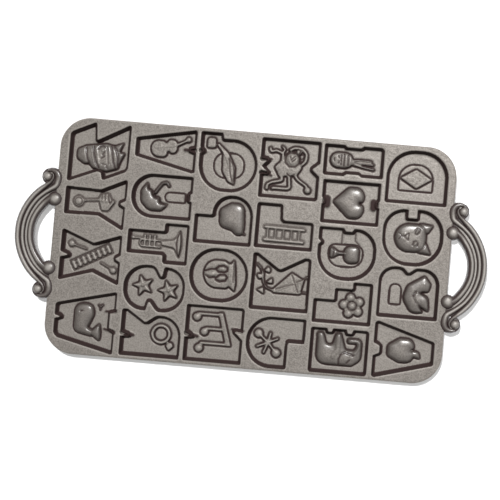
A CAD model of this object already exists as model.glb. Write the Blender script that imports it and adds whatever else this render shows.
"""Looks of a cast iron alphabet cookie pan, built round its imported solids.

The plate's top and underside are height fields taken from the solids and softened as sand casting softens
them. The top is cut into one piece for each letter. The plate's edge and the handles are profiles carried
along paths. Lengths are in millimetres until a mesh is made, and a mesh is in metres.
"""

import logging
import math
from dataclasses import dataclass, field, replace
from enum import Enum

import bpy
import numpy as np
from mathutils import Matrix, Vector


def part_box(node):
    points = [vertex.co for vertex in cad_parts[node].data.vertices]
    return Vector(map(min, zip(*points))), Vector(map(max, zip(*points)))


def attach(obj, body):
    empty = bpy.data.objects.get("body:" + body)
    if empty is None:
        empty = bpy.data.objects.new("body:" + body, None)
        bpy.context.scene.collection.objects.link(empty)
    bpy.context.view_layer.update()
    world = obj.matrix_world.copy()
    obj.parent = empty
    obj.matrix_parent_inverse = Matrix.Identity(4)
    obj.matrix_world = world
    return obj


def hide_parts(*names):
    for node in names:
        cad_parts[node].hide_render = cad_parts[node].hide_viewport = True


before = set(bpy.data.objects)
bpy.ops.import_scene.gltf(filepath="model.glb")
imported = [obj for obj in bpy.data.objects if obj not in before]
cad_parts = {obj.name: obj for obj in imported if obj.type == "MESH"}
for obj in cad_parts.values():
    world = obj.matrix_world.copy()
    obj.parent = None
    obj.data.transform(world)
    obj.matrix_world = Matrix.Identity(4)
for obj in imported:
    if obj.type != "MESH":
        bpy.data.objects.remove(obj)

LOG = logging.getLogger("cookie_pan")
MM = 0.001                      # metres in a millimetre
SNAP = 1e-3                     # millimetres by which places that agree may differ
ROUNDING = 1e-6                 # rounding error let through
LEAST_NORMAL = 1e-7             # of a triangle's normal along Z, for it to look that way
BELL_REACH = 3                  # standard deviations that a blur reaches
WHITE = (1.0, 1.0, 1.0, 1.0)

Socket = bpy.types.NodeSocket
Pair = tuple[float, float]
Place = tuple[float, float, float]
Colour = tuple[float, float, float]
Carry = tuple[Pair, Pair]       # a range, and the range that it is carried to
Inputs = dict[str | int, Socket | float | tuple[float, ...]]
Marks = dict[str, np.ndarray]   # values for each vertex or grid point, by the mark's name
Surface = tuple[np.ndarray, np.ndarray, np.ndarray]  # vertices, quads and each vertex's standing from 0 to 1


class Facing(Enum):
    """Which way a surface of the plate looks."""

    UP = 1.0
    DOWN = -1.0


def triangles_of(names: list[str], facing: Facing) -> np.ndarray:
    """Triangles of CAD nodes that look one way.

    Args:
        names: The nodes' names.
        facing: Keep the triangles whose normal has this sign along Z.

    Returns:
        Corners in millimetres, shape (triangles, 3, 3).
    """
    found = []
    for name in names:
        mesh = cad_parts[name].data
        mesh.calc_loop_triangles()
        places = np.empty(len(mesh.vertices) * 3)
        mesh.vertices.foreach_get("co", places)
        corners = np.empty(len(mesh.loop_triangles) * 3, dtype=np.int32)
        mesh.loop_triangles.foreach_get("vertices", corners)
        found.append(places.reshape(-1, 3)[corners.reshape(-1, 3)])
    triangles = np.concatenate(found) / MM
    normal_z = np.cross(triangles[:, 1] - triangles[:, 0], triangles[:, 2] - triangles[:, 0])[:, 2]
    return triangles[normal_z * facing.value > LEAST_NORMAL]


def softened(values: np.ndarray, cells: float) -> np.ndarray:
    """A field blurred with a bell curve, one axis after the other.

    Args:
        values: The field.
        cells: The bell curve's standard deviation, in grid cells.

    Returns:
        The blurred field, its border values carried outwards.
    """
    reach = math.ceil(BELL_REACH * cells)
    weights = np.exp(-0.5 * (np.arange(-reach, reach + 1) / cells) ** 2)
    weights /= weights.sum()
    for axis in (0, 1):
        margins = [(reach, reach) if axis == a else (0, 0) for a in (0, 1)]
        wide = np.pad(values, margins, mode="edge")
        count = values.shape[axis]
        values = sum(
            weight * (wide[i : i + count] if axis == 0 else wide[:, i : i + count])
            for i, weight in enumerate(weights)
        )
    return values


def smoothstep(low: float, high: float, values: np.ndarray) -> np.ndarray:
    """0 below low, 1 above high, and 3t^2 - 2t^3 between them."""
    t = np.clip((values - low) / (high - low), 0.0, 1.0)
    return t * t * (3 - 2 * t)


def add_mesh(name: str, places: np.ndarray, faces: np.ndarray, marks: Marks) -> bpy.types.Object:
    """Makes a smooth-shaded object from whole arrays.

    Args:
        name: The piece's name.
        places: Vertices in millimetres, shape (n, 3).
        faces: Vertex numbers of the quads, shape (m, 4), counter-clockwise from outside.
        marks: Values for each vertex, kept as float attributes under their names.

    Returns:
        The new object, at the origin.
    """
    mesh = bpy.data.meshes.new(name)
    mesh.vertices.add(len(places))
    mesh.vertices.foreach_set("co", (places * MM).astype(np.float32).ravel())
    mesh.loops.add(faces.size)
    mesh.loops.foreach_set("vertex_index", faces.astype(np.int32).ravel())
    mesh.polygons.add(len(faces))
    mesh.polygons.foreach_set("loop_start", np.arange(len(faces), dtype=np.int32) * 4)
    mesh.update(calc_edges=True)
    mesh.polygons.foreach_set("use_smooth", np.ones(len(faces), dtype=bool))
    for mark, values in marks.items():
        attribute = mesh.attributes.new(mark, "FLOAT", "POINT")
        attribute.data.foreach_set("value", values.astype(np.float32))
    mesh.validate()
    piece = bpy.data.objects.new(name, mesh)
    bpy.context.scene.collection.objects.link(piece)
    return piece


def grid_faces(rows: int, columns: int, closed_rows: bool = False,
               closed_columns: bool = False) -> np.ndarray:
    """Quads of a grid whose vertex (i, j) is number i * columns + j.

    Args:
        rows: Number of vertices along the first parameter.
        columns: Number of vertices along the second parameter.
        closed_rows: Join the last row to the first.
        closed_columns: Join the last column to the first.

    Returns:
        Vertex numbers, shape (quads, 4), as (i, j), (i + 1, j), (i + 1, j + 1), (i, j + 1).
    """
    i = np.arange(rows if closed_rows else rows - 1)[:, None]
    j = np.arange(columns if closed_columns else columns - 1)[None, :]
    i_next = (i + 1) % rows
    j_next = (j + 1) % columns
    corners = [i * columns + j, i_next * columns + j, i_next * columns + j_next, i * columns + j_next]
    return np.stack([np.broadcast_to(c, (i.size, j.size)) for c in corners], axis=-1).reshape(-1, 4)


def dress(piece: bpy.types.Object, finish: bpy.types.Material) -> None:
    """Gives a piece its finish, lets it ride with the pan and reports it.

    Args:
        piece: The piece.
        finish: Its material.
    """
    piece.data.materials.append(finish)
    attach(piece, "root")
    LOG.info("%s: %d faces", piece.name, len(piece.data.polygons))


class Wiring:
    """Short ways to add nodes to a material's or the world's node tree."""

    def __init__(self, tree: bpy.types.NodeTree) -> None:
        """Takes the tree."""
        self.nodes = tree.nodes
        self.links = tree.links

    def fill(self, node: bpy.types.Node, inputs: Inputs) -> None:
        """Links or sets a node's inputs.

        Args:
            node: The node.
            inputs: For each input's name or number, the socket to link it to or the value to set.
        """
        for key, value in inputs.items():
            if isinstance(value, Socket):
                self.links.new(value, node.inputs[key])
            else:
                node.inputs[key].default_value = value

    def added(self, kind: str, inputs: Inputs, **settings: str) -> bpy.types.Node:
        """Adds a node.

        Args:
            kind: The node's type, after "ShaderNode".
            inputs: As for fill.
            settings: The node's own settings.

        Returns:
            The node.
        """
        node = self.nodes.new("ShaderNode" + kind)
        for name, value in settings.items():
            setattr(node, name, value)
        self.fill(node, inputs)
        return node

    def mark(self, name: str) -> Socket:
        """A piece's own mark, 0 where it has none."""
        return self.added("Attribute", {}, attribute_name=name).outputs["Fac"]

    def noise(self, place: Socket, per_metre: float, detail: float) -> Socket:
        """A noise texture's value, with this many features per metre."""
        return self.added("TexNoise", {"Vector": place, "Scale": per_metre, "Detail": detail}).outputs["Fac"]

    def carried(self, value: Socket, source: Pair, target: Pair) -> Socket:
        """A value carried from one range to another and kept inside it."""
        inputs = {"Value": value, 1: source[0], 2: source[1], 3: target[0], 4: target[1]}
        return self.added("MapRange", inputs).outputs["Result"]


@dataclass(frozen=True)
class CastIron:
    """Sand-cast iron, seasoned: taupe grey on top, nearly black in the corners, fine grain all over."""

    name: str = "cast_iron"
    body: Colour = (0.234, 0.211, 0.189)
    pale: Colour = (0.356, 0.328, 0.298)
    clouded: Colour = (0.1872, 0.1688, 0.1512)
    pitted: Colour = (0.1053, 0.09495, 0.08505)
    deep: Colour = (0.034, 0.022, 0.021)
    patina: Colour = (0.078, 0.064, 0.056)
    polish: Colour = (0.560, 0.545, 0.520)
    grain: Pair = (820.0, 3.0)  # features per metre, and how fine their detail is
    blotch: Pair = (330.0, 2.0)
    cloud: Pair = (22.0, 2.0)
    blotch_share: Carry = ((0.35, 0.68), (0.0, 0.55))
    cloud_share: Carry = ((0.3, 0.7), (0.35, 0.0))
    pit_share: Carry = ((0.36, 0.52), (0.50, 0.0))
    speck_share: Carry = ((0.5, 0.64), (0.0, 0.32))
    rubbed_share: Carry = ((0.0, 1.0), (0.0, 0.6))
    polish_share: Carry = ((0.0, 1.0), (0.0, 0.25))
    full_share: Carry = ((0.0, 1.0), (0.0, 1.0))
    roughness: Carry = ((0.3, 0.7), (0.52, 0.40))
    metallic: Carry = ((0.0, 0.8), (0.35, 0.0))
    specular: Carry = ((0.0, 0.8), (0.5, 0.08))
    coat: Carry = ((0.0, 0.6), (0.0, 1.0))
    coat_roughness: float = 0.27
    coat_ior: float = 1.8
    grain_height: float = 0.00022
    grain_strength: float = 0.55
    blotch_height: float = 0.00044
    blotch_strength: float = 0.45

    def material(self) -> bpy.types.Material:
        """Builds the material.

        Returns:
            A material whose colour, roughness and bump follow three sizes of noise on Object coordinates. The
            "rubbed" and "polish" marks lighten it, "patina" darkens it under a gloss coat, and "crevice"
            makes it nearly black and dull.
        """
        material = bpy.data.materials.new(self.name)
        material.use_nodes = True
        wiring = Wiring(material.node_tree)
        place = wiring.added("TexCoord", {}).outputs["Object"]
        grain, blotch, cloud = (wiring.noise(place, *size) for size in (self.grain, self.blotch, self.cloud))
        patina, crevice = wiring.mark("patina"), wiring.mark("crevice")
        layers = (
            (blotch, self.blotch_share, self.pale),
            (cloud, self.cloud_share, self.clouded),
            (grain, self.pit_share, self.pitted),
            (grain, self.speck_share, self.pale),
            (wiring.mark("rubbed"), self.rubbed_share, self.pale),
            (wiring.mark("polish"), self.polish_share, self.polish),
            (patina, self.full_share, self.patina),
            (crevice, self.full_share, self.deep),
        )
        colour: Socket | tuple[float, ...] = (*self.body, 1.0)
        for value, share, over in layers:
            blend = {"Factor": wiring.carried(value, *share), 6: colour, 7: (*over, 1.0)}
            colour = wiring.added("Mix", blend, data_type="RGBA").outputs[2]
        fine = {"Height": grain, "Distance": self.grain_height, "Strength": self.grain_strength}
        coarse = {"Height": blotch, "Distance": self.blotch_height, "Strength": self.blotch_strength}
        coarse["Normal"] = wiring.added("Bump", fine).outputs["Normal"]
        wiring.fill(material.node_tree.nodes["Principled BSDF"], {
            "Base Color": colour,
            "Roughness": wiring.carried(blotch, *self.roughness),
            "Metallic": wiring.carried(crevice, *self.metallic),
            "Specular IOR Level": wiring.carried(crevice, *self.specular),
            "Coat Weight": wiring.carried(patina, *self.coat),
            "Coat Roughness": self.coat_roughness,
            "Coat IOR": self.coat_ior,
            "Normal": wiring.added("Bump", coarse).outputs["Normal"],
        })
        return material


@dataclass(frozen=True)
class PlateOutline:
    """The plate's round-cornered outline, centred on the origin."""

    half_length: float
    half_width: float
    corner_radius: float = 27.0
    edge_radius: float = 1.8

    def depth(self, x: np.ndarray, y: np.ndarray) -> np.ndarray:
        """How far points lie inside the outline.

        With q = (|x|, |y|) less the corner centre, the distance outwards is |max(q, 0)| + min(max(qx, qy), 0)
        less the corner radius.

        Args:
            x: Places along X.
            y: Places along Y.

        Returns:
            The depths, negative outside.
        """
        qx = np.abs(x) - (self.half_length - self.corner_radius)
        qy = np.abs(y) - (self.half_width - self.corner_radius)
        outwards = np.hypot(np.maximum(qx, 0), np.maximum(qy, 0)) + np.minimum(np.maximum(qx, qy), 0)
        return self.corner_radius - outwards

    def drawn_in(self, x: np.ndarray, y: np.ndarray) -> tuple[np.ndarray, np.ndarray]:
        """Moves points that lie beyond the flat's round corners onto them.

        Args:
            x: Places along X.
            y: Places along Y.

        Returns:
            The new x and y. A point beyond a corner goes to the arc's centre plus the arc's radius along its
            own direction from there.
        """
        centre_x = np.sign(x) * (self.half_length - self.corner_radius)
        centre_y = np.sign(y) * (self.half_width - self.corner_radius)
        away_x, away_y = x - centre_x, y - centre_y
        reach = np.maximum(np.hypot(away_x, away_y), ROUNDING)
        radius = self.corner_radius - self.edge_radius
        beyond = (np.abs(x) > np.abs(centre_x)) & (np.abs(y) > np.abs(centre_y)) & (reach > radius)
        return (np.where(beyond, centre_x + away_x * radius / reach, x),
                np.where(beyond, centre_y + away_y * radius / reach, y))

    def loop(self, corner_steps: int) -> tuple[np.ndarray, np.ndarray]:
        """Points round the outline, counter-clockwise, and their outward normals.

        Args:
            corner_steps: Steps in each quarter circle.

        Returns:
            Corner centres and normals, each of shape (n, 2). A point at inset d is the centre plus
            (radius - d) times the normal.
        """
        turn = np.linspace(0, np.pi / 2, corner_steps + 1)
        angles = (turn[None, :] + np.arange(4)[:, None] * np.pi / 2).ravel()
        signs = np.array([(1, 1), (-1, 1), (-1, -1), (1, -1)], dtype=float)
        reach = np.array([self.half_length - self.corner_radius, self.half_width - self.corner_radius])
        centres = np.repeat(signs, corner_steps + 1, axis=0) * reach
        return centres, np.stack([np.cos(angles), np.sin(angles)], axis=-1)


@dataclass
class HeightField:
    """A grid of heights over the flat of the plate."""

    outline: PlateOutline
    step: float
    edge_slack: float = 1e-4    # share of a triangle by which a point may lie outside it
    batch: int = 3_000_000      # grid points tested at a time
    x: np.ndarray = field(init=False)
    y: np.ndarray = field(init=False)

    def __post_init__(self) -> None:
        """Lays the grid so that its border lies on the flat's straight sides."""
        half_x = self.outline.half_length - self.outline.edge_radius
        half_y = self.outline.half_width - self.outline.edge_radius
        along = np.linspace(-half_x, half_x, round(2 * half_x / self.step) + 1)
        across = np.linspace(-half_y, half_y, round(2 * half_y / self.step) + 1)
        self.x, self.y = np.meshgrid(along, across, indexing="ij")

    def blurred(self, values: np.ndarray, reach: float) -> np.ndarray:
        """A field or a mask, blurred by this many millimetres."""
        return softened(values.astype(float), reach * (1 / self.step))

    def inwards(self, reach: float) -> np.ndarray:
        """0 on the flat's border, growing to 1 at this many millimetres inside it."""
        return smoothstep(0.0, reach, self.outline.depth(self.x, self.y) - self.outline.edge_radius)

    def heights(self, triangles: np.ndarray, facing: Facing) -> np.ndarray:
        """Height of the outermost triangle over each grid point.

        Each triangle is tested at the grid points of its bounding window. A point p is inside if its shares
        u = (p - a) x (c - a) / d and v = (b - a) x (p - a) / d, with d = (b - a) x (c - a), are at least 0
        and add up to at most 1, and its height there is a + u (b - a) + v (c - a). Triangles with windows of
        like size are worked out together.

        Args:
            triangles: Corners, shape (n, 3, 3).
            facing: Keep the highest surface if up, the lowest if down.

        Returns:
            Heights on the grid, minus infinity (plus infinity if down) where there is no triangle.
        """
        origin = np.array([self.x[0, 0], self.y[0, 0]])
        pitch = np.array([self.x[1, 0] - self.x[0, 0], self.y[0, 1] - self.y[0, 0]])
        sign = facing.value
        slack = self.edge_slack
        last_i, last_j = np.array(self.x.shape) - 1
        result = np.full(self.x.shape, -np.inf)
        low = np.ceil((triangles[:, :, :2].min(axis=1) - origin) / pitch - ROUNDING).astype(int)
        high = np.floor((triangles[:, :, :2].max(axis=1) - origin) / pitch + ROUNDING).astype(int)
        low = np.maximum(low, 0)
        high = np.minimum(high, (last_i, last_j))
        window = high - low + 1
        usable = window.min(axis=1) > 0
        classes = np.ceil(np.log2(np.maximum(window.max(axis=1), 1))).astype(int)
        for level in np.unique(classes[usable]):
            width = 2 ** int(level)
            chosen = np.nonzero(usable & (classes == level))[0]
            di, dj = (grid.ravel() for grid in np.indices((width, width)))
            for part in np.array_split(chosen, max(1, chosen.size * width * width // self.batch)):
                i = low[part, 0, None] + di[None, :]
                j = low[part, 1, None] + dj[None, :]
                within = (i <= high[part, 0, None]) & (j <= high[part, 1, None])
                i, j = np.minimum(i, last_i), np.minimum(j, last_j)
                a, b, c = (triangles[part, k, None, :] for k in range(3))
                px, py = self.x[i, j] - a[..., 0], self.y[i, j] - a[..., 1]
                bx, by = b[..., 0] - a[..., 0], b[..., 1] - a[..., 1]
                cx, cy = c[..., 0] - a[..., 0], c[..., 1] - a[..., 1]
                d = bx * cy - by * cx
                u = (px * cy - py * cx) / d
                v = (bx * py - by * px) / d
                inside = within & (u > -slack) & (v > -slack) & (u + v < 1 + 2 * slack)
                z = a[..., 2] + u * (b[..., 2] - a[..., 2]) + v * (c[..., 2] - a[..., 2])
                np.maximum.at(result, (i[inside], j[inside]), sign * z[inside])
        return sign * result

    def pieces(self, name: str, labels: list[str], owner: np.ndarray, z: np.ndarray, facing: Facing,
               marks: Marks) -> dict[str, bpy.types.Object]:
        """Cuts the field into one object for each label.

        Args:
            name: Start of the pieces' names.
            labels: The labels, in the order of their numbers in owner.
            owner: Number of the label that each grid point belongs to.
            z: Heights.
            facing: Which way the faces look.
            marks: Fields that are kept as attributes.

        Returns:
            The objects by label.
        """
        x, y = self.outline.drawn_in(self.x, self.y)
        places = np.stack([x, y, z], axis=-1).reshape(-1, 3)
        inside = (self.outline.depth(self.x, self.y) >= self.outline.edge_radius - ROUNDING).ravel()
        quads = grid_faces(*self.x.shape)
        quads = quads[inside[quads].any(axis=1)]
        if facing is Facing.DOWN:
            quads = quads[:, ::-1]
        quad_owner = owner.ravel()[quads[:, 0]]
        made = {}
        for number, label in enumerate(labels):
            own = quads[quad_owner == number]
            used, numbers = np.unique(own, return_inverse=True)
            kept = {mark: values.ravel()[used] for mark, values in marks.items()}
            made[label] = add_mesh(f"{name}_{label}", places[used], numbers.reshape(-1, 4), kept)
        return made


@dataclass(frozen=True)
class Line:
    """A line worked into a picture or a floor: cut in, or raised where the depth is negative."""

    points: tuple[Pair, ...]
    width: float = 1.2
    depth: float = 0.8
    darkness: float = 0.9

    def share(self, grid: HeightField, softness: float) -> np.ndarray:
        """How fully grid points lie on the line.

        The distance to the line is the least distance to its segments, with each point's foot on a segment at
        the share t = (p - a) . (b - a) / |b - a|^2 kept from 0 to 1.

        Args:
            grid: The grid.
            softness: How far the line's sides slope, either way of half its width.

        Returns:
            Shares that fall from 1 on the line to 0 beside it.
        """
        reach = self.width / 2 + softness
        places = np.array(self.points)
        near = (grid.x > places[:, 0].min() - reach) & (grid.x < places[:, 0].max() + reach)
        near &= (grid.y > places[:, 1].min() - reach) & (grid.y < places[:, 1].max() + reach)
        x, y = grid.x[near], grid.y[near]
        distance = np.full(x.shape, np.inf)
        for a, b in zip(places[:-1], places[1:]):
            run = b - a
            t = np.clip(((x - a[0]) * run[0] + (y - a[1]) * run[1]) / (run @ run), 0, 1)
            distance = np.minimum(distance, np.hypot(x - a[0] - t * run[0], y - a[1] - t * run[1]))
        shares = np.zeros(grid.x.shape)
        shares[near] = smoothstep(-softness, softness, self.width / 2 - distance)
        return shares


def ring_line(x: float, y: float, radius: float, width: float) -> Line:
    """A cut line round a circle."""
    turn = np.linspace(0, 2 * np.pi, 25)
    return Line(tuple(zip(x + radius * np.cos(turn), y + radius * np.sin(turn))), width)


def star_creases(x: float, y: float, reach: float = 9.6) -> tuple[Line, ...]:
    """A star's raised creases.

    Args:
        x: The star's middle along X.
        y: The star's middle along Y.
        reach: How far its points lie from the middle.

    Returns:
        The five creases, from the middle to the points.
    """
    angles = [math.radians(180 + 72 * i) for i in range(5)]
    tips = [(x + reach * math.cos(angle), y + reach * math.sin(angle)) for angle in angles]
    return tuple(Line(((x, y), tip), 1.6, -0.7, 0.0) for tip in tips)


def xylophone_lines(bars: int = 8, width: float = 0.8) -> tuple[Line, ...]:
    """The xylophone's long sides and the joints between its bars.

    Args:
        bars: How many bars it has.
        width: The lines' width.

    Returns:
        The lines. The sides lie a little outside the joints' ends.
    """
    corner, across, along = np.array([-160.9, -23.2]), np.array([4.3, -7.8]), np.array([33.6, 18.6])
    joints = [(corner + along * i / bars, across) for i in range(bars + 1)]
    sides = [(corner + across * share, along) for share in (-0.06, 1.06)]
    return tuple(Line((tuple(start), tuple(start + run)), width) for start, run in joints + sides)


# The lines drawn in each letter's picture: their points, then width, depth and darkness.
LINES: dict[str, tuple[Line, ...]] = {
    "b": (
        Line(((150.2, -24.4), (148.0, -28.0), (151.2, -33.8), (156.2, -38.8), (162.0, -41.2)), 1.5, 1.2),
        Line(((153.0, -24.8), (157.4, -26.6), (160.8, -30.0), (162.2, -34.4), (162.6, -40.4)), 1.2),
        Line(((149.4, -29.6), (153.0, -35.4)), 1.2, -0.6, 0.0),
    ),
    "c": (
        Line(((149.6, 36.0), (153.6, 31.6), (155.6, 26.0), (155.6, 21.0), (153.8, 15.6), (150.0, 11.8)),
             1.1, 0.6, 0.7),
        Line(((145.2, 27.4), (145.4, 30.2), (147.4, 32.2), (149.2, 31.2), (148.6, 28.4), (146.6, 26.6),
              (145.2, 27.4)), 1.0),
        Line(((143.6, 17.2), (144.6, 20.2), (146.6, 20.8), (148.2, 19.0), (148.0, 16.4)), 1.1),
        Line(((146.4, 28.2), (147.6, 30.4)), 1.5, -0.9, 0.0),
        Line(((145.6, 17.6), (146.8, 19.2)), 1.5, -0.9, 0.0),
        Line(((139.6, 27.2), (135.8, 24.4), (139.4, 21.0), (139.6, 27.2)), 0.9, 0.6),
        Line(((136.0, 24.4), (133.4, 24.4)), 0.7, 0.4),
        Line(((130.6, 27.4), (133.4, 24.6), (130.8, 21.6)), 0.8, 0.4),
    ),
    "e": (
        Line(((86.2, -94.6), (86.0, -90.4), (87.6, -86.0), (91.2, -83.6), (95.0, -85.0), (97.4, -85.4)),
             1.3, 1.0),
        Line(((93.4, -93.4), (95.8, -90.4)), 1.2, 0.8),
        Line(((98.4, -86.2), (98.9, -85.9)), 1.6, 1.0),
        Line(((84.6, -70.0), (84.6, -82.0), (80.6, -88.0)), 3.6, -0.6, 0.0),
        Line(((100.0, -84.4), (103.4, -79.4), (103.2, -74.6)), 2.0, -0.6, 0.0),
    ),
    "f": (ring_line(94.4, -41.9, 4.0, 1.3),),
    "g": (
        Line(((73.4, -0.6), (73.7, 4.4), (73.4, 9.6)), 1.0),
        Line(((80.8, 23.6), (80.6, 12.8)), 1.1, 0.7, 0.8),
        Line(((92.6, 22.8), (92.8, 16.4), (96.8, 12.6)), 1.1, 0.7, 0.8),
    ),
    "i": (
        Line(((73.9, 83.2), (73.9, 92.8)), 1.1),
        Line(((76.4, 82.6), (76.4, 93.4)), 1.1),
        Line(((80.2, 83.2), (80.2, 92.8)), 1.1),
        Line(((78.3, 83.4), (78.3, 92.6)), 1.6, -0.5, 0.0),
        Line(((72.0, 89.8), (71.4, 91.2)), 1.0),
        Line(((72.0, 86.2), (71.4, 84.8)), 1.0),
        Line(((67.6, 89.2), (67.3, 88.0), (67.6, 86.8)), 0.9),
        Line(((86.4, 87.2), (91.0, 88.8), (102.8, 88.6)), 0.6, 0.6, 0.7),
        Line(((86.0, 86.6), (104.2, 85.8)), 0.6, 0.6, 0.7),
        Line(((84.6, 84.8), (95.0, 81.8), (104.8, 80.8)), 0.6, 0.6, 0.7),
    ),
    "k": (
        Line(((38.6, -18.8), (41.6, -25.6), (44.8, -33.8)), 1.1, 0.8, 0.7),
        Line(((25.0, -32.6), (33.0, -29.4), (40.6, -27.2)), 1.1, 0.8, 0.7),
        Line(((43.0, -25.0), (48.2, -22.8)), 1.1, 0.8, 0.7),
        Line(((45.6, -25.6), (46.4, -31.8)), 2.0, -0.6, 0.0),
    ),
    "m": (
        Line(((24.0, 86.2), (24.2, 81.4), (27.8, 78.0), (33.0, 78.2), (36.6, 81.6), (36.6, 86.6),
              (33.4, 90.2), (28.0, 90.6), (25.0, 88.6), (24.0, 86.2)), 1.5, 1.0),
        Line(((29.8, 82.2), (33.0, 85.0)), 1.0, 0.7, 0.8),
        Line(((27.8, 87.6), (29.0, 83.8), (32.6, 87.8)), 1.0, 0.7, 0.8),
        Line(((31.6, 91.2), (34.4, 94.0), (37.2, 92.8), (35.8, 89.8)), 1.2),
        Line(((37.4, 89.8), (40.8, 89.0), (40.6, 86.4), (38.0, 85.4)), 1.2),
        Line(((26.4, 71.2), (29.6, 69.2), (32.6, 71.0)), 1.2),
        Line(((12.4, 55.6), (13.8, 59.0)), 1.0, 0.6, 0.7),
    ),
    "o": (
        Line(((-29.8, -19.2), (-27.4, -16.6), (-23.0, -15.8), (-19.6, -17.4), (-19.6, -20.4), (-22.2, -21.8),
              (-27.4, -21.6), (-29.8, -19.2)), 1.8, 1.2, 1.0),
        Line(((-29.6, -27.4), (-26.0, -24.2), (-21.4, -23.8), (-19.2, -26.2), (-20.8, -29.2), (-25.6, -30.2),
              (-29.0, -29.0), (-29.6, -27.4)), 1.8, 1.2, 1.0),
        Line(((-39.6, -21.4), (-34.4, -19.6), (-30.4, -19.4)), 1.6, 1.0, 1.0),
        Line(((-38.4, -25.2), (-35.4, -27.4), (-30.6, -26.6)), 1.6, 1.0, 1.0),
        Line(((-14.2, -12.6), (-13.2, -20.0), (-13.4, -29.4)), 1.9, 0.7, 0.55),
        Line(((-17.6, -14.6), (-17.0, -30.6)), 1.4, -0.6, 0.0),
        Line(((-37.0, -23.6), (-31.4, -23.6)), 3.2, -0.6, 0.0),
    ),
    "q": (
        Line(((-26.4, 80.6), (-23.0, 76.0), (-21.2, 70.0), (-21.2, 60.0)), 1.1, 0.7, 0.8),
        Line(((-26.0, 79.6), (-25.0, 70.0), (-23.6, 64.0), (-21.8, 58.6)), 1.1, 0.7, 0.8),
    ),
    "s": star_creases(-93.6, -39.4) + star_creases(-70.6, -42.5),
    "t": (
        Line(((-64.6, 11.8), (-66.6, 5.0), (-67.0, 0.0), (-66.2, -6.0), (-64.6, -12.0)), 1.3, 0.9),
        Line(((-64.0, 11.2), (-62.9, 4.0), (-62.9, -4.0), (-64.0, -11.6)), 1.3, 0.9),
    ),
    "u": (
        Line(((-97.6, 52.2), (-96.4, 47.8), (-93.4, 46.6), (-91.6, 42.4), (-89.0, 39.8), (-86.2, 39.4),
              (-85.6, 36.4), (-83.0, 35.2), (-78.6, 34.6)), 1.9, 1.2),
    ),
    "w": (Line(((-147.0, -66.8), (-145.2, -66.2)), 1.2),),
    "x": xylophone_lines(),
    "y": (
        ring_line(-157.8, 31.1, 3.3, 0.6),
        Line(((-137.4, 39.0), (-136.8, 34.6)), 1.0, 0.7, 0.8),
        Line(((-134.6, 39.2), (-134.0, 34.2)), 1.0, 0.7, 0.8),
        Line(((-131.6, 38.6), (-130.8, 34.0), (-129.8, 31.2), (-128.2, 33.6)), 1.1, 0.8, 0.85),
    ),
    "z": (
        Line(((-155.0, 79.6), (-154.2, 74.0), (-152.8, 68.5), (-151.5, 66.0)), 1.4, 1.2),
        Line(((-148.6, 80.8), (-147.4, 74.0), (-145.3, 67.0), (-142.8, 62.4)), 1.5, 1.2),
        Line(((-136.6, 81.6), (-135.2, 74.0), (-134.2, 66.4)), 1.1, 0.8, 0.6),
        Line(((-132.6, 82.6), (-131.2, 76.0), (-129.8, 68.0), (-127.8, 62.6)), 1.4, 1.2),
        Line(((-130.2, 83.0), (-127.4, 78.0), (-125.8, 71.0), (-125.4, 63.6)), 1.5, 1.2),
        Line(((-143.6, 79.0), (-142.8, 81.2), (-140.4, 82.2), (-138.4, 81.2)), 1.2, 0.9),
        Line(((-138.4, 76.6), (-139.8, 74.2), (-138.2, 72.6), (-141.0, 70.8)), 1.2, 0.8, 0.8),
        Line(((-139.8, 65.6), (-136.0, 65.2), (-135.4, 62.2)), 1.0, 0.6, 0.6),
    ),
}

# Tongues of iron that run out from the rims over the floors: their points, then width and rise, as a
# negative depth.
TONGUES: tuple[Line, ...] = (
    Line(((64.2, 47.4), (64.2, 52.6)), 6.2, -1.6),
    Line(((106.2, 47.2), (106.2, 52.4)), 5.8, -1.6),
    Line(((-61.3, 40.6), (-61.3, 43.8)), 4.2, -1.2),
    Line(((-116.6, -64.4), (-120.6, -65.0), (-124.6, -65.4)), 2.3, -1.0),
    Line(((-116.6, -84.0), (-120.6, -82.4), (-124.8, -81.2)), 2.3, -1.0),
    Line(((-58.6, 84.9), (-63.0, 85.0), (-66.6, 85.2)), 3.0, -1.2),
    Line(((-50.6, -78.0), (-46.0, -79.4), (-41.4, -80.6)), 2.8, -1.2),
    Line(((-2.4, -72.8), (-6.6, -72.2), (-10.8, -71.6)), 2.2, -1.2),
    Line(((-107.6, -82.0), (-103.0, -83.2), (-99.0, -84.4)), 3.0, -1.2),
    Line(((3.4, 83.0), (8.0, 83.0), (11.4, 83.6)), 2.2, -1.0),
    Line(((3.4, 70.0), (8.4, 69.4), (12.2, 68.8)), 2.2, -1.0),
    Line(((-51.6, 85.6), (-48.0, 85.0)), 2.4, -1.0),
)

# How far a picture swells above its solid in the middle, in millimetres.
SWELL: dict[str, float] = {
    "a": 2.9, "b": 2.3, "c": 2.5, "e": 2.0, "g": 2.2, "h": 3.0, "i": 1.4, "m": 0.9, "o": 0.8, "p": 3.0,
    "u": 2.0, "w": 2.9, "z": 1.8,
}

# How dark a slight picture's outline is against the others.
BOLDNESS: dict[str, float] = {"l": 0.65, "t": 0.65, "x": 0.8, "y": 0.75}


@dataclass
class Wells:
    """What is known of each point of the top's grid, as whole arrays."""

    owner: np.ndarray           # the letter's number, or -1 on the land
    wall_z: np.ndarray          # height of the walls, minus infinity elsewhere
    floor_z: np.ndarray         # height of the floors with their pictures, minus infinity elsewhere
    picture: np.ndarray         # whether a picture stands there
    swell: np.ndarray           # how far that picture swells in the middle
    boldness: np.ndarray        # how dark its outline is
    inside: np.ndarray          # how far inside it the point lies, as a share of the swell's reach
    cut: np.ndarray             # how dark the lines cut there are, from 0 to 1


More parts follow.
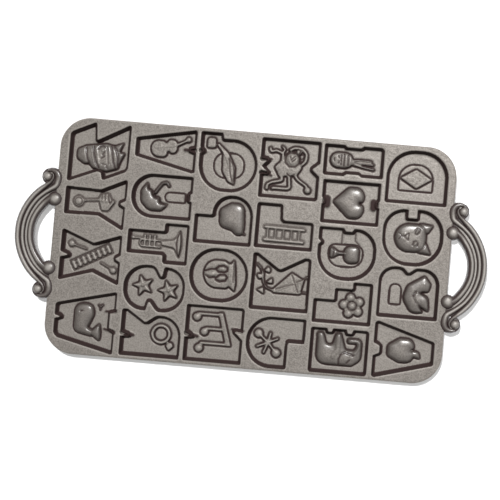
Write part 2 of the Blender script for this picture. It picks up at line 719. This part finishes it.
@dataclass
class Plate:
    """The plate with its wells and pictures, its underside and its rounded edge."""

    finish: bpy.types.Material
    outline: PlateOutline
    top_z: float
    under_z: float
    floor_z: float
    top_step: float = 0.4
    under_step: float = 0.8
    top_border: float = 0.9     # how far in from the edge the top reaches its own height
    under_border: float = 1.2
    cast_softness: float = 0.42
    under_softness: float = 0.9
    least_rise: float = 0.1     # of a picture over its floor
    least_sink: float = 0.12    # of the line that stands for a letter's closed middle
    growth: float = 0.3         # share of a blurred mask over which it counts as whole
    mask_softness: float = 0.5
    mark_softness: float = 0.36
    line_softness: float = 0.4
    line_spread: float = 0.3
    swell_reach: float = 8.0
    swell_softness: float = 1.0
    ring_depth: float = 0.7
    ring_softness: float = 0.66
    soot_reach: float = 1.1
    surroundings: float = 2.2
    floor_rub: float = 0.4
    picture_patina: float = 0.92
    edge_corner_steps: int = 96
    edge_round_steps: int = 9
    edge_lap: float = 0.8       # how far the edge runs on under the flats
    edge_dip: float = 0.04
    edge_rub: float = 0.6

    @staticmethod
    def letters() -> dict[str, list[str]]:
        """Finds each letter's nodes.

        Returns:
            The floor's name and the pictures' names, by letter.
        """
        names = sorted(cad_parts)
        floors = {name[-1]: name for name in names if name.startswith("well_floor_")}
        return {
            letter: [floor] + [name for name in names if name.startswith(f"relief_{letter}_")]
            for letter, floor in floors.items()
        }

    @staticmethod
    def spread_labels(owner: np.ndarray) -> np.ndarray:
        """Grows all labels one cell at a time until every grid point has one.

        Args:
            owner: Label of each grid point, negative where it has none.

        Returns:
            The labels, with that of a neighbour where there was none.
        """
        while (owner < 0).any():
            for axis, shift in ((0, 1), (0, -1), (1, 1), (1, -1)):
                beside = np.roll(np.pad(owner, 1, mode="edge"), shift, axis=axis)[1:-1, 1:-1]
                owner = np.where(owner < 0, beside, owner)
        return owner

    def depth_inside(self, mask: np.ndarray) -> np.ndarray:
        """How far each grid point lies inside a mask, up to the swell's reach.

        The mask is eroded again and again by a plus and by a square in turn, which takes off about an
        octagon, and each point counts the rounds that it outlasts.

        Args:
            mask: The mask.

        Returns:
            Depths in millimetres.
        """
        depth = np.zeros(mask.shape)
        for i in range(math.ceil(self.swell_reach / self.top_step)):
            wide = np.pad(mask, 1)
            core = mask & wide[:-2, 1:-1] & wide[2:, 1:-1] & wide[1:-1, :-2] & wide[1:-1, 2:]
            if i % 2:
                core = core & wide[:-2, :-2] & wide[2:, :-2] & wide[:-2, 2:] & wide[2:, 2:]
            depth += mask * self.top_step
            mask = core
        return depth

    def read_wells(self, grid: HeightField, letters: dict[str, list[str]]) -> Wells:
        """Reads the wells and their pictures from the solids.

        Args:
            grid: The top's grid.
            letters: Each letter's nodes.

        Returns:
            The wells, with their pictures not yet swelled, and with the lines for the closed middles.
        """
        walls = triangles_of(["pan_plate"], Facing.UP)
        depth = self.outline.depth(walls[:, :, 0], walls[:, :, 1]).min(axis=1)
        is_wall = walls[:, :, 2].min(axis=1) < self.top_z - SNAP
        wall_z = grid.heights(walls[(depth > self.outline.edge_radius - SNAP) & is_wall], Facing.UP)
        owner = np.full(wall_z.shape, -1)
        floor_z = np.full(wall_z.shape, -np.inf)
        picture = np.zeros(wall_z.shape, dtype=bool)
        swell = np.zeros(wall_z.shape)
        boldness = np.ones(wall_z.shape)
        for number, (letter, nodes) in enumerate(letters.items()):
            ground = grid.heights(triangles_of(nodes[:1], Facing.UP), Facing.UP)
            raised = grid.heights(triangles_of(nodes[1:], Facing.UP), Facing.UP)
            own = np.isfinite(raised) & (raised > self.floor_z + self.least_rise)
            owner[np.isfinite(ground)] = number
            picture |= own
            swell[own] = SWELL.get(letter, 0.0)
            boldness[np.isfinite(ground)] = BOLDNESS.get(letter, 1.0)
            floor_z = np.maximum(floor_z, np.maximum(ground, raised))
        inside = grid.blurred(self.depth_inside(picture) / self.swell_reach, self.swell_softness)
        middles = np.isfinite(floor_z) & (floor_z < self.floor_z - self.least_sink)
        middles = grid.blurred(middles, self.line_softness) > self.growth
        cut = 0.97 * smoothstep(0.25, 0.65, grid.blurred(middles, self.mark_softness))
        return Wells(owner, wall_z, floor_z, picture, swell, boldness, np.clip(inside, 0, 1), cut)

    def carve(self, grid: HeightField, wells: Wells) -> None:
        """Swells the pictures, works the drawn lines into them and adds the tongues of iron.

        A picture is swelled by H (1 - (1 - d)^2)^0.5, with H its swell and d how far inside it a point lies.
        A line lowers the floor by its depth, and a raised line also wipes out the darkness of those before
        it. A tongue lifts the floor to its own height.

        Args:
            grid: The top's grid.
            wells: The wells, whose floors and cut lines are changed.
        """
        wells.floor_z += wells.swell * np.sqrt(1 - (1 - wells.inside) ** 2)
        drawn = np.zeros(wells.cut.shape)
        for line in [line for lines in LINES.values() for line in lines]:
            share = replace(line, width=line.width + self.line_spread).share(grid, self.line_softness)
            wells.floor_z -= line.depth * share
            drawn = np.maximum(drawn * (1 - share * (line.darkness == 0)), line.darkness * share)
        for line in TONGUES:
            share = line.share(grid, 2 * self.line_softness)
            lifted = np.maximum(wells.floor_z, self.floor_z - line.depth * share)
            wells.floor_z = np.where(share > 0, lifted, wells.floor_z)
            drawn = np.maximum(drawn, share)
        wells.cut = np.maximum(wells.cut, drawn)

    def cast(self, grid: HeightField, wells: Wells) -> tuple[np.ndarray, np.ndarray]:
        """The top's height as it comes from the sand.

        It is the height of the walls and floors, blurred, and lowered by a groove round each picture: with m
        the blurred picture mask, 4 m (1 - m) of its depth. At the border it keeps the plate's own height.

        Args:
            grid: The top's grid.
            wells: The wells, carved.

        Returns:
            The heights, and how fully each point lies in a groove, from 0 to 1.
        """
        sunk = np.maximum(wells.wall_z, wells.floor_z)
        raw = np.where(np.isfinite(sunk), np.minimum(sunk, self.top_z), self.top_z)
        ring = grid.blurred(grid.blurred(wells.picture, self.mask_softness) > self.growth, self.ring_softness)
        ring = 4 * ring * (1 - ring)
        z = grid.blurred(raw, self.cast_softness) - self.ring_depth * ring
        return self.top_z + (z - self.top_z) * grid.inwards(self.top_border), ring

    def top_marks(self, grid: HeightField, wells: Wells, z: np.ndarray, ring: np.ndarray) -> Marks:
        """Where the top is dark, worn or glossy.

        Walls with the soot at their feet, grooves and cut lines are crevices. Rims, floors and what stands
        above its surroundings are rubbed. A swelled picture has its patina most round its sides.

        Args:
            grid: The top's grid.
            wells: The wells, carved.
            z: The heights.
            ring: How fully each point lies in a groove.

        Returns:
            The marks.
        """
        on_wall = np.isfinite(wells.wall_z) & (wells.wall_z < self.top_z - 0.05)
        on_wall &= wells.wall_z > wells.floor_z + 0.02
        on_floor = np.isfinite(wells.floor_z) & ~on_wall & ~wells.picture
        sooted = on_wall.copy()
        for shift in range(1, round(self.soot_reach / self.top_step) + 1):
            sooted |= on_floor & (np.roll(on_wall, shift, axis=0) | np.roll(on_wall, shift, axis=1))
        wall = grid.blurred(sooted, self.mark_softness)
        fullness = smoothstep(0.22, 0.4, grid.blurred(wells.picture, 3.0))
        outlines = (0.88 + 0.1 * fullness) * smoothstep(0.06, 0.46, ring) * wells.boldness
        crevice = np.maximum(smoothstep(0.26, 0.58, wall), outlines * (1 - smoothstep(0.3, 0.6, wall)))
        crevice = np.maximum(crevice, wells.cut)
        swelled = smoothstep(1.0, 2.0, grid.blurred(wells.swell, self.mask_softness))
        beside = grid.blurred(on_wall, 1.1) * (1 - crevice)
        risen = smoothstep(0.35, 1.5, z - grid.blurred(z, self.surroundings))
        rubbed = np.maximum(risen, smoothstep(0.08, 0.3, beside))
        rubbed = np.maximum(rubbed, self.floor_rub * grid.blurred(on_floor, self.mask_softness))
        return {
            "crevice": crevice,
            "rubbed": rubbed * (1 - crevice),
            "patina": self.picture_patina * swelled * (1 - 0.85 * wells.inside),
        }

    def top(self) -> list[bpy.types.Object]:
        """The top surface: one piece for each letter, with its well, its picture and the land round it.

        Returns:
            The pieces.
        """
        grid = HeightField(self.outline, self.top_step)
        letters = self.letters()
        wells = self.read_wells(grid, letters)
        self.carve(grid, wells)
        z, ring = self.cast(grid, wells)
        marks = self.top_marks(grid, wells, z, ring)
        made = grid.pieces("letter", list(letters), self.spread_labels(wells.owner), z, Facing.UP, marks)
        for letter, piece in made.items():
            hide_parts(*letters[letter])
        return list(made.values())

    def underside(self) -> list[bpy.types.Object]:
        """The underside: the plate's back with a boss behind each well, in two halves.

        Returns:
            The pieces, darker on the bosses' sides and rubbed where the pan stands.
        """
        grid = HeightField(self.outline, self.under_step)
        floors = [nodes[0] for nodes in self.letters().values()]
        backs = grid.heights(triangles_of(floors, Facing.DOWN), Facing.DOWN)
        raw = np.where(np.isfinite(backs), np.minimum(backs, self.under_z), self.under_z)
        z = np.maximum(grid.blurred(raw, self.under_softness), 0.0)
        z = self.under_z + (z - self.under_z) * grid.inwards(self.under_border)
        slope = np.hypot(*np.gradient(z, self.under_step))
        marks = {"crevice": 0.5 * smoothstep(0.6, 1.8, slope), "rubbed": 0.5 * smoothstep(1.2, 0.1, z)}
        owner = (grid.x > 0).astype(int)
        return list(grid.pieces("underside", ["left", "right"], owner, z, Facing.DOWN, marks).values())

    def edge(self) -> bpy.types.Object:
        """The plate's rounded edge: a profile carried round the outline.

        The profile runs from the top's flat over a quarter circle, down the side, and over another quarter
        circle to the underside. Its ends dip a little under the flats.

        Returns:
            The piece.
        """
        r = self.outline.edge_radius
        turn = np.linspace(np.pi / 2, 0, self.edge_round_steps)
        end = [r + self.edge_lap]
        inset = np.concatenate([end, r - r * np.cos(turn), r - r * np.cos(turn[::-1]), end])
        height = np.concatenate([
            [self.top_z - self.edge_dip], self.top_z - r + r * np.sin(turn),
            self.under_z + r - r * np.sin(turn[::-1]), [self.under_z + self.edge_dip],
        ])
        centres, normals = self.outline.loop(self.edge_corner_steps)
        radii = self.outline.corner_radius - inset
        plan = centres[:, None, :] + normals[:, None, :] * radii[None, :, None]
        places = np.concatenate([plan, np.broadcast_to(height, plan.shape[:2])[..., None]], axis=-1)
        faces = grid_faces(*plan.shape[:2], closed_rows=True)[:, ::-1]
        worn = self.edge_rub * smoothstep(0, 1, np.sin(np.linspace(0, np.pi, inset.size)))
        rubbed = np.broadcast_to(worn, plan.shape[:2]).ravel()
        return add_mesh("plate_edge", places.reshape(-1, 3), faces, {"rubbed": rubbed})

    def build(self) -> list[bpy.types.Object]:
        """Makes and dresses the plate's pieces.

        Returns:
            All its pieces.
        """
        edge = self.edge()
        pieces = self.top() + self.underside() + [edge]
        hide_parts("pan_plate")
        for piece in pieces:
            dress(piece, self.finish)
        return pieces


@dataclass(frozen=True)
class Ridge:
    """A half-round ridge carried along a path, solid down to the handle's foot.

    The path is given for the +X handle's +Y half, from the handle's middle to the ridge's end. The widths
    are to either side of it. The gap's shade is how dark the side towards the finger gap is.
    """

    points: tuple[Pair, ...]
    widths: tuple[float, ...]
    top_z: float
    shoulder_z: float
    gap_shade: float = 0.0


@dataclass(frozen=True)
class Boss:
    """A round boss on an upright axis, given for the +X handle's +Y half.

    The fullness is the power of the sine by which the boss darkens from its top, less for a paler one.
    """

    x: float
    y: float
    radius: float
    top_z: float
    shoulder_z: float
    fullness: float = 0.55


@dataclass
class Handle:
    """One scrolled handle: an inner bar that ends in knobs, and an outer bar of two ridges round balls."""

    finish: bpy.types.Material
    node: str
    side: int
    foot_z: float
    foot_round: float = 0.9
    shoulder_drop: float = 0.8
    steps: int = 260
    round_steps: int = 18
    boss_steps: int = 40
    boss_round_steps: int = 10
    end_share: float = 0.5      # of the path's last span, over which a ridge closes
    scroll_shade: float = 0.1
    inner_bar: Ridge = Ridge(
        points=((197.8, 0.0), (197.0, 8.2), (194.2, 16.2), (190.2, 22.8), (186.0, 28.0), (181.6, 31.2),
                (177.4, 31.4)),
        widths=(3.5, 3.5, 3.5, 3.6, 3.7, 3.9, 3.6),
        top_z=12.2,
        shoulder_z=6.6,
        gap_shade=0.35,
    )
    inner_ridge: Ridge = Ridge(
        points=((204.6, 0.0), (203.6, 10.0), (200.2, 20.0), (195.0, 28.6), (189.2, 34.6), (183.6, 38.9),
                (178.6, 42.6), (177.2, 47.0), (177.2, 51.4), (179.4, 54.9), (183.4, 56.3), (187.6, 55.5)),
        widths=(2.5, 2.5, 2.5, 2.5, 2.5, 2.7, 3.3, 3.8, 3.8, 3.2, 2.5, 1.7),
        top_z=12.0,
        shoulder_z=7.6,
    )
    outer_ridge: Ridge = Ridge(
        points=((208.9, 0.0), (207.9, 10.6), (204.5, 20.8), (199.0, 30.4), (193.2, 37.2), (187.6, 42.2),
                (183.2, 46.2), (181.4, 50.2), (182.6, 54.0)),
        widths=(2.85, 2.85, 2.85, 2.85, 2.7, 2.3, 1.9, 1.5, 1.1),
        top_z=12.1,
        shoulder_z=8.0,
    )
    web: Ridge = Ridge(
        points=((202.6, 0.0), (201.6, 9.6), (198.4, 18.8), (193.0, 27.4), (188.0, 33.4), (183.4, 38.0),
                (180.0, 43.0), (180.4, 49.0), (183.0, 52.0)),
        widths=(7.0, 7.0, 7.0, 7.0, 6.6, 6.0, 5.4, 5.0, 4.6),
        top_z=9.0,
        shoulder_z=8.2,
    )
    knob: Boss = Boss(x=178.6, y=30.8, radius=6.7, top_z=12.9, shoulder_z=8.2)
    ball: Boss = Boss(x=186.7, y=50.5, radius=4.5, top_z=12.9, shoulder_z=8.8, fullness=0.3)
    pad: Boss = Boss(x=184.2, y=50.6, radius=7.4, top_z=10.2, shoulder_z=9.4)

    @staticmethod
    def spline(points: np.ndarray, t: np.ndarray) -> np.ndarray:
        """A smooth curve through points.

        Between points b and c, with neighbours a and d, it is the Catmull-Rom cubic
        0.5 (2b + (c - a) s + (2a - 5b + 4c - d) s^2 + (3b - a - 3c + d) s^3).

        Args:
            points: Points or values, shape (n, k).
            t: Places along the curve, from 0 to n - 1.

        Returns:
            The curve at t, shape (len(t), k).
        """
        wide = np.concatenate([2 * points[:1] - points[1:2], points, 2 * points[-1:] - points[-2:-1]])
        i = np.clip(t.astype(int), 0, len(points) - 2)
        s = (t - i)[:, None]
        a, b, c, d = (wide[i + k] for k in range(4))
        square = (2 * a - 5 * b + 4 * c - d) * s**2
        cube = (3 * b - a - 3 * c + d) * s**3
        return 0.5 * (2 * b + (c - a) * s + square + cube)

    def swept(self, ridge: Ridge) -> Surface:
        """A ridge's closed surface.

        The section at each step is a half ellipse on two upright sides with rounded feet. Its width follows
        the ridge's widths, and over the last stretch it shrinks as the root of 1 - q^2 to close the end.

        Args:
            ridge: The ridge.

        Returns:
            The surface. The vertices on the crest stand highest.
        """
        half = np.array([(x, y, w) for (x, y), w in zip(ridge.points, ridge.widths)])
        whole = np.concatenate([half[:0:-1] * np.array([1.0, -1.0, 1.0]), half])
        t = np.linspace(0, len(whole) - 1, self.steps)
        curve = self.spline(whole, t)
        ahead = np.gradient(curve[:, :2], axis=0)
        ahead /= np.linalg.norm(ahead, axis=1)[:, None]
        aside = np.stack([ahead[:, 1], -ahead[:, 0]], axis=-1)
        q = np.clip(1 - np.minimum(t, t[-1] - t) / self.end_share, 0, 1)
        close = np.sqrt(1 - q * q)
        angle = np.linspace(0, np.pi, self.round_steps)
        shoulder, foot = ridge.shoulder_z, self.foot_z + self.foot_round
        side = shoulder - self.shoulder_drop
        across = np.concatenate([np.cos(angle), [-1, -1, -0.55, 0.55, 1, 1]])
        lift = np.concatenate([np.sin(angle), np.zeros(6)])
        low = np.concatenate([np.full(self.round_steps, shoulder),
                              [side, foot, self.foot_z, self.foot_z, foot, side]])
        rise = (ridge.top_z - shoulder) * lift[None, :] * close[:, None]
        reach = (curve[:, 2] * close)[:, None] * across[None, :]
        plan = curve[:, None, :2] + aside[:, None, :] * reach[..., None]
        places = np.concatenate([plan, (low[None, :] + rise)[..., None]], axis=-1)
        worn = 1 - self.scroll_shade * smoothstep(0.5, 0.8, np.abs(2 * t / t[-1] - 1))
        crest = np.sin(angle) - ridge.gap_shade * np.maximum(-np.cos(angle), 0)
        high = np.concatenate([crest, [0.3, 0.92, 0.94, 0.94, 0.92, 0.3]])[None, :] * worn[:, None]
        return places.reshape(-1, 3), grid_faces(self.steps, across.size, closed_columns=True), high.ravel()

    def turned(self, boss: Boss, half: int) -> Surface:
        """A boss's surface: a half ellipse on an upright side, turned about its axis.

        Args:
            boss: The boss.
            half: 1 for the handle's +Y half, -1 for the other.

        Returns:
            The surface. The vertices on the boss's top stand highest.
        """
        rise = np.linspace(0, np.pi / 2, self.boss_round_steps)
        reach = boss.radius * np.concatenate([[0.0, 0.8, 1.0], np.cos(rise)])
        height = np.concatenate([[self.foot_z, self.foot_z, self.foot_z + self.foot_round],
                                 boss.shoulder_z + (boss.top_z - boss.shoulder_z) * np.sin(rise)])
        turn = np.linspace(0, 2 * np.pi, self.boss_steps, endpoint=False)[:, None]
        plan = np.stack([boss.x + np.cos(turn) * reach, half * boss.y + np.sin(turn) * reach], axis=-1)
        places = np.concatenate([plan, np.broadcast_to(height, plan.shape[:2])[..., None]], axis=-1)
        faces = grid_faces(turn.size, reach.size, closed_rows=True)
        high = np.concatenate([[0.94, 0.94, 0.92], np.sin(rise) ** boss.fullness])
        return places.reshape(-1, 3), faces, np.broadcast_to(high, plan.shape[:2]).ravel()

    def joined(self, name: str, ridges: tuple[Ridge, ...], boss: Boss) -> bpy.types.Object:
        """Puts ridges and the bosses at both their ends into one piece.

        The -X handle's surface is the +X handle's, given half a turn about Z.

        Args:
            name: The piece's name, after the handle's.
            ridges: The ridges.
            boss: The boss on the +Y half.

        Returns:
            The piece, dark and glossy towards the foot of its curves and rubbed bright on their tops.
        """
        parts = [self.swept(ridge) for ridge in ridges] + [self.turned(boss, half) for half in (-1, 1)]
        starts = np.cumsum([0] + [len(places) for places, _, _ in parts[:-1]])
        places = np.concatenate([part[0] for part in parts]) * np.array([self.side, self.side, 1.0])
        faces = np.concatenate([part[1] + start for part, start in zip(parts, starts)])
        high = np.concatenate([part[2] for part in parts])
        marks = {
            "crevice": 0.97 * (1 - smoothstep(0.7, 0.98, high)),
            "rubbed": smoothstep(0.9, 0.99, high),
            "patina": 0.8 * (1 - smoothstep(0.85, 1.0, high)),
            "polish": smoothstep(0.94, 1.0, high),
        }
        piece = add_mesh(f"{self.node}_{name}", places, faces, marks)
        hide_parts(self.node)
        dress(piece, self.finish)
        return piece

    def build(self) -> list[bpy.types.Object]:
        """Makes and dresses the handle's pieces.

        Returns:
            The inner bar, the outer bar and the web that joins them.
        """
        return [
            self.joined("inner_bar", (self.inner_bar,), self.knob),
            self.joined("outer_bar", (self.inner_ridge, self.outer_ridge), self.ball),
            self.joined("web", (self.web,), self.pad),
        ]


@dataclass
class Studio:
    """The pale floor, the lamps, the world's light and the camera."""

    floor_half: float = 3.0
    floor_colour: Colour = (0.82, 0.82, 0.82)
    floor_glow: float = 0.04
    key_place: Place = (0.34, 0.54, 1.10)
    key_size: float = 0.25
    key_power: float = 7.5
    sun_from: Place = (-0.26, 0.37, 1.0)
    sun_angle: float = 0.07
    sun_power: float = 3.0
    bright_side: Place = (0.85, 0.40, 0.34)
    world_cosines: Pair = (-0.3, 1.0)
    world_strengths: Pair = (0.11, 0.40)
    camera_place: Place = (-0.0018, -0.0324, 1.150)
    camera_turn: Place = (0.0284, -0.0032, 0.0856)
    focal_length: float = 91.97
    sensor_width: float = 36.0

    def floor(self) -> bpy.types.Object:
        """Lays a flat floor under the pan, which keeps its shadow.

        Returns:
            The floor, a little brighter where the camera sees it.
        """
        half = self.floor_half / MM
        corners = np.array([(-half, -half, 0.0), (half, -half, 0.0), (half, half, 0.0), (-half, half, 0.0)])
        piece = add_mesh("floor", corners, np.array([[0, 1, 2, 3]]), {})
        material = bpy.data.materials.new("floor")
        material.use_nodes = True
        material.node_tree.nodes.clear()
        wiring = Wiring(material.node_tree)
        diffuse = wiring.added("BsdfDiffuse", {"Color": (*self.floor_colour, 1.0)}).outputs[0]
        glow = wiring.added("Emission", {"Color": WHITE, "Strength": self.floor_glow}).outputs[0]
        bright = wiring.added("AddShader", {0: diffuse, 1: glow}).outputs[0]
        seen = wiring.added("LightPath", {}).outputs["Is Camera Ray"]
        shown = wiring.added("MixShader", {0: seen, 1: diffuse, 2: bright}).outputs[0]
        wiring.added("OutputMaterial", {"Surface": shown})
        piece.data.materials.append(material)
        return piece

    @staticmethod
    def aimed(light: bpy.types.Light, place: Place) -> bpy.types.Object:
        """Hangs a light.

        Args:
            light: The light.
            place: Where it hangs, in metres.

        Returns:
            Its object, aimed at the middle of the pan.
        """
        lamp = bpy.data.objects.new(light.name, light)
        lamp.location = place
        lamp.rotation_euler = (-lamp.location).to_track_quat("-Z", "Y").to_euler()
        bpy.context.scene.collection.objects.link(lamp)
        return lamp

    def room(self) -> bpy.types.World:
        """The light from all round, which grows from the dim side to the bright side.

        Returns:
            A world whose strength follows the cosine between a ray and the bright side's direction.
        """
        world = bpy.data.worlds.new("studio")
        world.use_nodes = True
        wiring = Wiring(world.node_tree)
        ray = wiring.added("TexCoord", {}).outputs["Generated"]
        cosine = wiring.added("VectorMath", {0: ray, 1: self.bright_side}, operation="DOT_PRODUCT")
        strength = wiring.carried(cosine.outputs["Value"], self.world_cosines, self.world_strengths)
        wiring.fill(world.node_tree.nodes["Background"], {"Color": WHITE, "Strength": strength})
        return world

    def build(self) -> None:
        """Sets the stage, the light and the camera."""
        scene = bpy.context.scene
        self.floor()
        key = bpy.data.lights.new("key", "AREA")
        key.shape = "SQUARE"
        key.size = self.key_size
        key.energy = self.key_power
        key.use_shadow = False
        self.aimed(key, self.key_place)
        sun = bpy.data.lights.new("sun", "SUN")
        sun.energy = self.sun_power
        sun.angle = self.sun_angle
        self.aimed(sun, self.sun_from).visible_glossy = False
        scene.world = self.room()
        lens = bpy.data.cameras.new("camera")
        lens.sensor_width = self.sensor_width
        lens.lens = self.focal_length
        camera = bpy.data.objects.new("camera", lens)
        camera.location = self.camera_place
        camera.rotation_euler = self.camera_turn
        scene.collection.objects.link(camera)
        scene.camera = camera
        scene.view_settings.view_transform = "Standard"


def main() -> None:
    """Builds the pan and its stage."""
    logging.basicConfig(level=logging.INFO, format="%(message)s")
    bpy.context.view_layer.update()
    iron = CastIron().material()
    low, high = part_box("pan_plate")
    outline = PlateOutline(half_length=(high.x - low.x) / 2 / MM, half_width=(high.y - low.y) / 2 / MM)
    floor_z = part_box("well_floor_a")[1].z / MM
    Plate(finish=iron, outline=outline, top_z=high.z / MM, under_z=low.z / MM, floor_z=floor_z).build()
    Handle(finish=iron, node="handle_right", side=1, foot_z=low.z / MM).build()
    Handle(finish=iron, node="handle_left", side=-1, foot_z=low.z / MM).build()
    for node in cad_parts.values():
        node.data.materials.clear()
        node.data.materials.append(iron)
    Studio().build()


if __name__ == "__main__":
    main()
